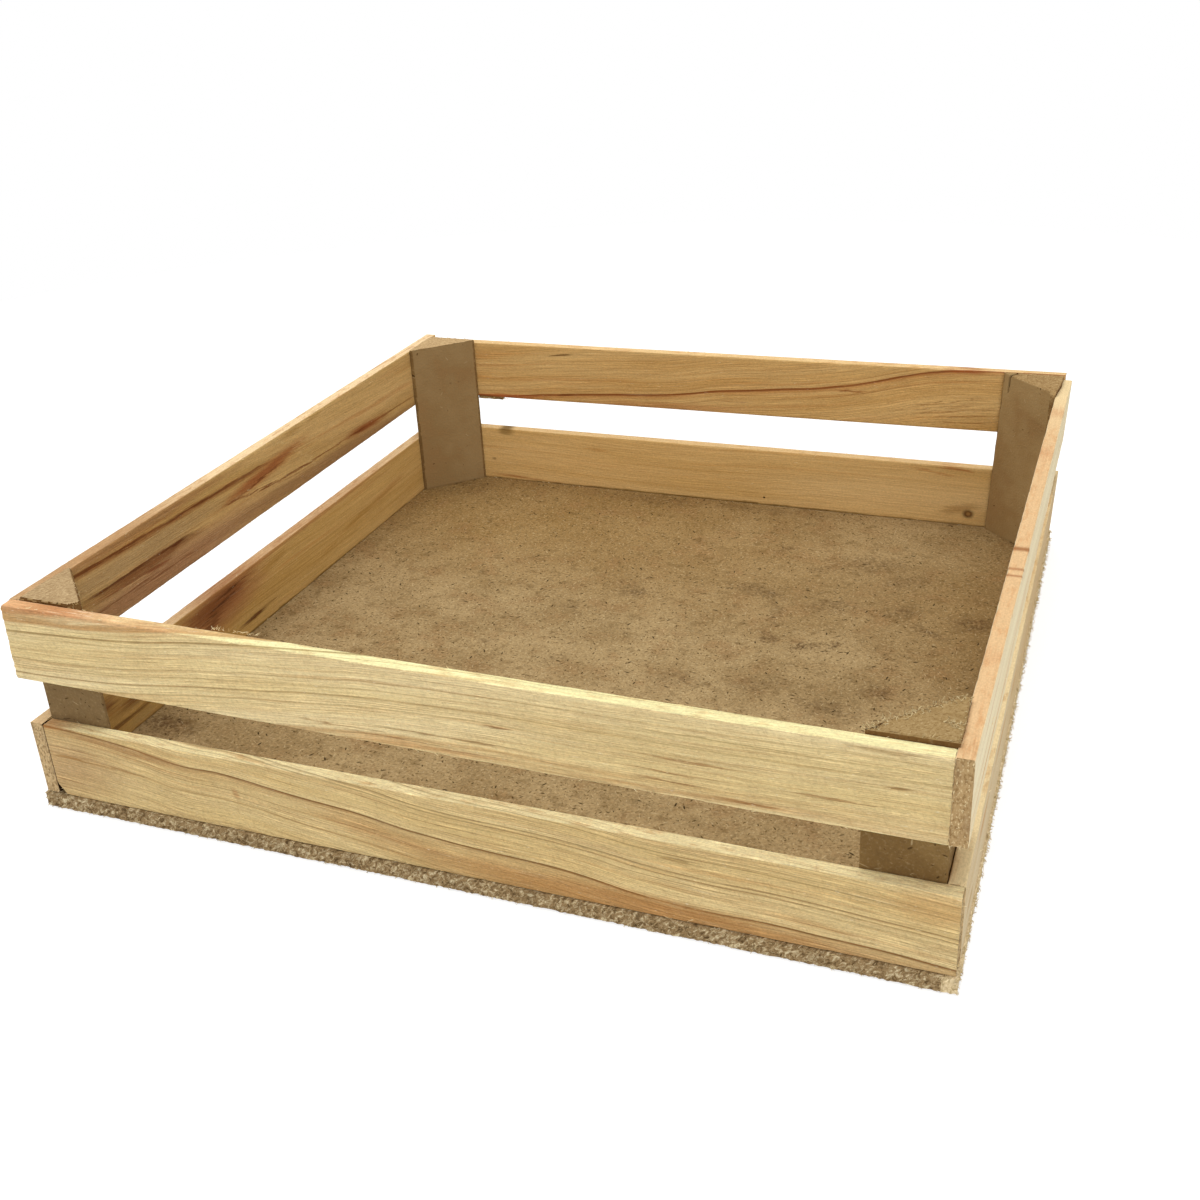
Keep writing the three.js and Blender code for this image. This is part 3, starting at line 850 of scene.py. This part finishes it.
# Upper front slat. The palest of the strips. It runs to the crate's left corner and butts against the right
# upper slat, which is why its sawn right end shows as a row of small teeth. Its growth lines climb out over
# its top edge, which is orange at the left corner and nearly white from there on.
pine_front_upper = sawn_pine(
    "pine_front_upper", "x", -148.5, seed=7.1, streaks=0.85,
    pale="#FAE5B1", tan="#F1D89D", line="#AC7C4A", blush="#DAAC72", edge="#FFF9BC",
    course=(
        (-150, 67.8), (150, 80.6), (-130, 68.2), (-110, 69.3), (-95, 71), (-80, 73), (-65, 74.8),
        (-50, 76.4), (-35, 78), (-20, 79.3), (0, 80.1), (50, 80.3)),
    rings=(
        (0, 0.9, 0.5, "#9A7A42", 0.75), (3.4, 0.8, 6, "#C08A4E", 0.75), (-2.2, 0.4, 0.3, "#A98A52", 0.4),
        (-9.8, 0.5, 0.3, "#94703C", 0.5), (-12.4, 0.5, 0.3, "#A0814A", 0.4),
        (-15.3, 0.7, 0.4, "#94703C", 0.6), (-18.5, 0.5, 0.3, "#A0814A", 0.4),
        (-27.2, 2.5, 0.5, "#B98A52", 0.45), (-29.5, 1.5, 0.4, "#B07A44", 0.4)),
    marks=(
        ("#DEC488", 96, 62, 120, 18, 0.6), ("#E8B280", -152, 76.8, 104, 3.2, 0.95),
        ("#BC8058", -128, 75.9, 24, 0.6, 0.5), ("#C08A5C", -92, 76.1, 14, 0.5, 0.5),
        ("#FFF0CC", -118, 76.4, 20, 0.4, 0.9), ("#FFF0CC", -80, 76.4, 16, 0.5, 0.8),
        ("#F0BE80", -24, 76.8, 16, 0.9, 0.7), ("#F0BE80", 52, 76.3, 20, 0.9, 0.6),
        ("#C07A42", -150, 74.4, 40, 1.6, 0.5, 4), ("#8A5A2C", 20, 61.2, 8, 0.5, 0.75),
        ("#8A6432", 6, 54.8, 36, 0.55, 0.7), ("#DDA66C", -8, 50.2, 40, 1.8, 0.45),
        ("#94602E", -30, 53, 24, 0.4, 0.6), ("#94602E", -12, 51.8, 28, 0.4, 0.6),
        ("#94602E", 6, 50.8, 24, 0.4, 0.5), ("#9A6838", 76, 60.2, 24, 0.5, 0.6),
        ("#8E6030", 72, 55.8, 13, 0.5, 0.7), ("#96683A", 116, 56.2, 16, 0.5, 0.65),
        ("#8E5E30", 70, 52.9, 14, 0.6, 0.65), ("#8A5A30", 94, 50.2, 15, 0.6, 0.75),
        ("#B8864E", 70, 49.6, 90, 1.2, 0.4), ("#8E7440", 85, 68.3, 34, 0.5, 0.5),
        ("#8E6A3A", 132, 62.8, 5, 0.6, 0.75, 3), ("#96703C", 128, 73.2, 16, 0.6, 0.5),
        ("#C09A60", 9, 77, 5, 0.8, 0.5), ("#8A6436", 94, 76.4, 2.4, 0.8, 0.7),
        ("#C09A60", 78, 76.4, 4, 0.7, 0.4)))
upper_front = rip_slat("slat_upper_front", "x", pine_front_upper, 2, splinters=90, end_gap=SAW_END_GAP)
dice = random.Random(21)
plant(upper_front, splinter, [
    root(dice, drawn(dice, (-74, -58), (-144.3, -143.7), 76.4) * MM, drawn(dice, (-1, 1), (-0.5, 0.8), 0.35),
         0.3, 0.8)
    for _ in range(26)
] + [
    (Vector((x, -148.2, z)) * MM, Vector((1, -0.05, 0.02)), 0, size)
    for x, z, size in ((-139.5, 76.4, 1.3), (-112.4, 76.1, 1.0), (-136, 76.4, 0.8), (-111.8, 76, 0.8))
])
keep_inside(upper_front)


# Back slats. Two strips of a warmer, more orange pine. The upper one stops short of the right-hand face, its
# lower left end hangs in torn fibres, and a reddish line climbs from its lower edge to its top. The lower
# one covers the left lower slat's end and has one small knot.
pine_back_upper = sawn_pine(
    "pine_back_upper", "x", 143.75, seed=4.2, streaks=0.6,
    pale="#DDB87A", tan="#CFA463", line="#8A5626", blush="#C28244", edge="#E6C48E",
    course=(
        (-150, 48), (150, 78), (-122, 48.9), (-103, 49.7), (-80, 52), (-56, 53.8), (-34, 55.1),
        (-20, 56.6), (0, 60.2), (27, 62.8), (54, 66.2), (67, 68.8), (81, 72.6), (94, 75.3), (108, 76.9)),
    rings=(
        (0, 3.4, 0.6, "#C07E44", 0.6), (0, 1.2, 0.5, "#7E421C", 0.9), (-4.6, 0.6, 0.3, "#9A6434", 0.4),
        (2.2, 0.5, 0.3, "#B07A42", 0.45), (9, 0.7, 0.4, "#B88648", 0.35)),
    marks=(
        # The first two marks are a slit in the wood, painted dark as painted shade in the slit
        ("#5A3A10", -76.5, 71.6, 5.9, 0.5, 0.95, 5), ("#5A3A10", -81, 71, 5, 0.3, 0.9, 6),
        ("#6A3A1A", -77, 52, 5.8, 0.8, 0.75, 6), ("#B4683A", -109, 49.3, 26, 1.5, 0.8, 2),
        ("#B4703E", -30, 50, 60, 3.0, 0.45, 2), ("#93582C", 59, 64.2, 11, 0.6, 0.75, 3),
        ("#93582C", 6, 55.2, 7, 0.5, 0.6), ("#865428", 101, 62.4, 26, 0.5, 0.5, 10),
        ("#865428", 98, 60, 30, 0.5, 0.4, 9), ("#865428", 104, 58.6, 26, 0.5, 0.5, 8),
        ("#865428", 106, 56.2, 24, 0.5, 0.45, 6), ("#865428", 106, 53.6, 26, 0.5, 0.5, 4),
        ("#9A4E24", 108, 76.4, 13, 1.2, 0.7)))
upper_back = rip_slat("slat_upper_back", "x", pine_back_upper, 4)

# The strip of torn wood that hangs from its left end, painted a darker grey-brown for the shade under the
# slat
torn_foot = block("torn_foot", Vector((-116.2, 145.2, 47.9)) * MM, Vector((13, 3, 2.2)) * MM)
shaped(torn_foot, "REMESH", mode="VOXEL", voxel_size=0.3 * MM)
wear(torn_foot, lambda point, normal: 1.2 * MM * grown(point, 1.3 * MM, (2.5, 1, 1)) - 0.25 * MM)
torn_foot.data.materials.append(torn_board("torn_pine_painted_shade", pale="#B49A70", brown="#94784C", dark="#66502E",
                                           bump=0.1 * MM))
select_only(torn_foot, upper_back)
bpy.ops.object.join()
dice = random.Random(22)
plant(upper_back, splinter, [
    root(dice, drawn(dice, (-120, -108), (143.9, 145.4), 47.6) * MM,
         Vector((dice.choice((-1, 1)), *drawn(dice, (-0.2, 0.2), (-0.4, 0)))), 0.4, 0.8)
    for _ in range(30)
])
keep_inside(upper_back)
pine_back_lower = sawn_pine(
    "pine_back_lower", "x", 143.75, seed=14.2, streaks=0.35,
    pale="#DBB679", tan="#CEA767", line="#8E6230", blush="#C89250", edge="#E2C08C",
    course=((-150, 24), (150, 21), (-90, 22), (-20, 20), (60, 22)),
    rings=((0, 0.8, 0.5, "#B08242", 0.3), (-9, 0.6, 0.4, "#B08242", 0.25)),
    marks=(
        ("#E8C890", 90, 18, 110, 12, 0.5), ("#8A6C3A", -109.6, 31, 5.9, 2.8, 0.75),
        ("#6A5026", -109.6, 32, 4.4, 1.0, 0.6), ("#6A4C22", -117, 16.2, 1.7, 1.0, 0.55),
        ("#2E1C0C", 19.8, 9.7, 0.8, 0.7, 1.0), ("#9A6E36", 109, 13.4, 13, 3.2, 0.5, 14),
        ("#5A3A1A", 112.3, 11.5, 3.4, 2.9, 1.0), ("#A87E48", 112.4, 11.6, 1.6, 1.4, 0.9),
        # The dark line along the foot at 6.2 mm is partly dirt in the joint with the floor and partly painted
        # contact shadow
        ("#9A5E30", -100, 7.4, 24, 0.7, 0.7, -3), ("#7A5C28", 0, 6.2, 170, 0.9, 0.75),
        ("#B5803F", -62, 25.6, 8, 0.8, 0.5, -4), ("#A8602E", 106, 32.2, 10, 1.4, 0.6, -6),
        ("#B87840", 96, 30, 14, 0.8, 0.5, -8)))
rip_slat("slat_lower_back", "x", pine_back_lower, 3)


# Left slats. Both have heartwood in them, so they are streaked red and dark brown towards the front. The
# upper one butts behind the front slat. The lower one runs through, and its end grain shows at the corner.
pine_left_upper = sawn_pine(
    "pine_left_upper", "y", 145.25, seed=9.4, streaks=0.5,
    pale="#D6B276", tan="#C49F60", line="#6E431E", blush="#B07038", edge="#EDD0A4",
    course=((-150, 74), (150, 60), (-120, 72.7), (-77, 70.7), (-18, 68.8), (2, 67.6), (40, 65), (90, 62)),
    rings=((-5, 3.5, 3.5, "#B08A54", 0.4),),
    marks=(
        ("#B09266", -90, 66, 80, 6, 0.7, -1), ("#A87C50", -96, 75, 96, 3.4, 0.8, -1),
        ("#8A5228", -98, 71.2, 60, 2.2, 0.7, -2.4), ("#8A5228", -40, 69.2, 50, 1.8, 0.7, -2),
        ("#6E3E1C", -102, 71.8, 38, 0.9, 0.9, -2.6), ("#6E3E1C", -50, 69.9, 42, 0.8, 0.9, -1.9),
        ("#7A4A24", -12, 68.4, 20, 0.7, 0.8, -3), ("#B28A64", -74, 53, 104, 11, 0.85, -0.5),
        ("#966444", -80, 53, 60, 5, 0.4), ("#7A4624", -84, 60.2, 46, 2.2, 0.8, -1.5),
        ("#6E3A1A", -92, 58.4, 34, 1.2, 0.6, -2), ("#5E3014", -98, 61.8, 30, 1.0, 0.9, -1),
        ("#5E3014", -68, 61, 18, 1.2, 0.95, -2), ("#7A3E1C", -78, 57.2, 12, 1.2, 0.7, -2),
        ("#6A3A1C", -100, 55.4, 30, 0.6, 0.6), ("#6A3A1C", -72, 54, 34, 0.6, 0.5, -1),
        ("#B47C48", -4, 65.4, 40, 4.6, 0.9, 5), ("#9C5E34", -6, 65.2, 34, 2.2, 0.8, 5),
        ("#7A4420", -10, 63.4, 26, 0.7, 0.8, 5), ("#96704A", 50, 51, 130, 5.6, 0.8, -2),
        ("#7A4420", -29, 62, 12, 0.6, 0.85, -5), ("#7A4420", -8, 59.4, 20, 0.6, 0.85, -8),
        ("#7A4420", 16, 57.3, 20, 0.6, 0.85, -3), ("#7A4420", 42, 56.4, 24, 0.6, 0.8, -1.5),
        ("#7A4420", 92, 54.9, 44, 0.6, 0.75, -2), ("#94552C", 74, 55.5, 26, 2.8, 0.95, -3),
        ("#6E3A18", 68, 55.7, 10, 1.3, 0.8, -3), ("#EAD29C", 25, 60, 18, 0.4, 0.5, -39),
        ("#EAD29C", 8, 72.5, 10, 0.4, 0.4, -28), ("#A8803C", 18, 74, 9, 2.4, 0.4),
        ("#A8803C", 35, 74.6, 8, 2, 0.35)))
rip_slat("slat_upper_left", "y", pine_left_upper, 6)
pine_left_lower = sawn_pine(
    "pine_left_lower", "y", 145.25, seed=11.7, streaks=0.4,
    pale="#CBA667", tan="#BE9857", line="#7A5024", blush="#B27840", edge="#E0C094", end="#CEB082",
    course=((-150, 24), (150, 20), (-50, 23), (50, 20)),
    rings=((0, 0.7, 0.4, "#A57A3E", 0.3), (-7, 0.6, 0.4, "#A57A3E", 0.3)),
    marks=(
        ("#9E6842", -50, 25.5, 46, 14, 0.85, 4), ("#6E3E24", -134, 22, 30, 6.5, 0.9),
        ("#B0925E", -102, 9, 10, 3.5, 0.4), ("#7A4826", -48, 28, 30, 6, 0.8, 3),
        ("#6E4020", -58, 21, 14, 2.6, 0.7, 18), ("#5C3212", -27, 11.6, 16, 1.2, 0.9, 2),
        ("#6E4420", -93, 18, 30, 4, 0.8, 3), ("#5E3818", -112, 12, 26, 1.2, 0.7),
        ("#A07838", -9, 27.6, 16, 3, 0.5, 6), ("#A27838", 57, 18, 20, 1.6, 0.45, 3),
        ("#A27838", 30, 14, 12, 1.4, 0.4, 4), ("#A06A30", 86, 20, 24, 2.2, 0.35, 6),
        # The dark line along the foot at 6.2 mm is partly dirt in the joint with the floor and partly painted
        # contact shadow
        ("#7A5C28", 0, 6.2, 170, 0.9, 0.7), ("#4E2A12", -40, 29.6, 15, 0.6, 0.8, 4),
        ("#4E2A12", -46, 27, 16, 0.5, 0.8, 4), ("#4E2A12", -56, 24.4, 12, 0.6, 0.7, 8),
        ("#A87044", 20, 32, 120, 1.4, 0.6)))
lower_left = rip_slat("slat_lower_left", "y", pine_left_lower, 5)

# The same dust and painted shade lie on its side of the open joint
dust_and_painted_shade_on(lower_left, lambda face: face.normal.x > 0.6 and face.center.y < -143.6 * MM)


# Right slats. A pale strip with a greyish outer face and a peach-coloured sawn top. The upper one covers the
# front upper slat's end, so its fuzzy end grain shows at the corner, with torn fibres hanging from its foot.
pine_right_upper = sawn_pine(
    "pine_right_upper", "y", -150, seed=5.9, streaks=0.08,
    pale="#E7DAB7", tan="#E0D0AA", line="#A07A4A", blush="#C08A58", edge="#CEA778", end="#B09266",
    course=((-150, 60), (150, 63), (-50, 62), (60, 60)),
    rings=(
        (0, 0.8, 0.4, "#B08A58", 0.2), (-6, 2.5, 0.5, "#C89A60", 0.3), (7, 0.6, 0.3, "#B08A58", 0.15)),
    marks=(
        ("#8E5A32", -24.4, 77, 2.6, 6, 0.85), ("#96603A", -39.2, 77, 1.6, 6, 0.7),
        ("#96603A", -44, 77, 1.3, 6, 0.7), ("#DCC698", 152, 77, 92, 5, 0.85),
        ("#B87C50", 103, 77, 9, 4, 0.4), ("#B07848", -140, 75.6, 9, 1.2, 0.6, 8),
        ("#B98052", -121, 76.4, 9, 1.0, 0.5, -6), ("#B98052", -96, 76.4, 8, 3, 0.4),
        ("#B87C50", 60, 77, 10, 3, 0.4), ("#C48C50", -95, 53.5, 60, 1.2, 0.7)))
upper_right = rip_slat("slat_upper_right", "y", pine_right_upper, 8, furrows=0.02 * MM)
dice = random.Random(23)
plant(upper_right, splinter, [
    root(dice, drawn(dice, (145.4, 149.2), -148, 48.9) * MM, drawn(dice, (-0.6, 0.6), -0.25, -1), 0.4, 1.0)
    for _ in range(16)
])
keep_inside(upper_right)
pine_right_lower = sawn_pine(
    "pine_right_lower", "y", -145.25, seed=6.6, streaks=0.12,
    pale="#D0BE9B", tan="#CBB48A", line="#9A7040", blush="#B88650", edge="#E4CE9E",
    course=((-150, 20), (150, 22), (-40, 21), (60, 19)),
    rings=((0, 0.8, 0.4, "#A87E48", 0.25), (5, 0.7, 0.4, "#B5834A", 0.25)),
    marks=(
        ("#B87C40", -104, 26, 14, 3, 0.55), ("#B87C40", -60, 27, 22, 2.4, 0.5),
        ("#A8763E", -128, 16, 9, 2.4, 0.5), ("#C09C68", 70, 18, 140, 26, 0.45),
        ("#B87C40", -20, 24, 16, 3, 0.4)))
rip_slat("slat_lower_right", "y", pine_right_lower, 7, furrows=0.03 * MM)
for pattern in (torn_fibre, short_fibre, splinter):
    bpy.data.objects.remove(pattern)


# The view. A round white studio table, a large soft light above, a soft light from the camera's side, and the
# camera where the photographer stood. Past the table the studio is white.
TABLE_RADIUS = 0.75
bpy.ops.object.select_all(action="DESELECT")
bpy.ops.mesh.primitive_circle_add(vertices=96, radius=TABLE_RADIUS, fill_type="NGON",
                                  location=(0, 0, -0.02 * MM))
table = bpy.context.object
table.name = "studio_table"
paper, tree = new_material("white_paper")
matt = add(tree, "BsdfDiffuse", {"Color": linear("#E6E6E6")})
lifted = add(tree, "AddShader", {0: add(tree, "BsdfDiffuse", {"Color": linear("#B4B4B4")}),
                                 1: add(tree, "Emission", {"Color": linear("#FFFFFF"), "Strength": 0.66})})
seen = add(tree, "LightPath", out="Is Camera Ray")
add(tree, "OutputMaterial", {"Surface": add(tree, "MixShader", {0: seen, 1: matt, 2: lifted})})
table.data.materials.append(paper)

world = bpy.data.worlds.new("studio")
bpy.context.scene.world = world
world.use_nodes = True
tree = world.node_tree
tree.nodes.clear()
seen = add(tree, "LightPath", out="Is Camera Ray")
room = add(tree, "Background", {"Color": linear("#FFFFFF"), "Strength": 0.52})
white = add(tree, "Background", {"Color": linear("#FFFFFF"), "Strength": 1.0})
add(tree, "OutputWorld", {"Surface": add(tree, "MixShader", {0: seen, 1: room, 2: white})})

for name, place, size, watts in (("soft_light_above", (-0.25, 0.1, 1.4), 1.6, 19.5),
                                 ("soft_light_camera_side", (1.05, -1.2, 0.8), 1.0, 11.6)):
    bpy.ops.object.light_add(type="AREA", location=place)
    lamp = bpy.context.object
    lamp.name = name
    lamp.data.size = size
    lamp.data.energy = watts
    lamp.rotation_euler = (-Vector(place)).to_track_quat("-Z", "Y").to_euler()

CAMERA_PLACE = Vector((176.5, -452.3, 273.0)) * MM
CAMERA_AIM = Vector((-2.14, -11.14, 30)) * MM
CAMERA_ROLL = math.radians(-3.04)
CAMERA_LENS = 42.98
bpy.ops.object.camera_add(location=CAMERA_PLACE)
camera = bpy.context.object
camera.data.lens = CAMERA_LENS
camera.rotation_mode = "QUATERNION"
looking = (CAMERA_AIM - CAMERA_PLACE).to_track_quat("-Z", "Y")
camera.rotation_quaternion = looking @ Quaternion((0, 0, 1), CAMERA_ROLL)
bpy.context.scene.camera = camera
bpy.context.scene.view_settings.view_transform = "Standard"
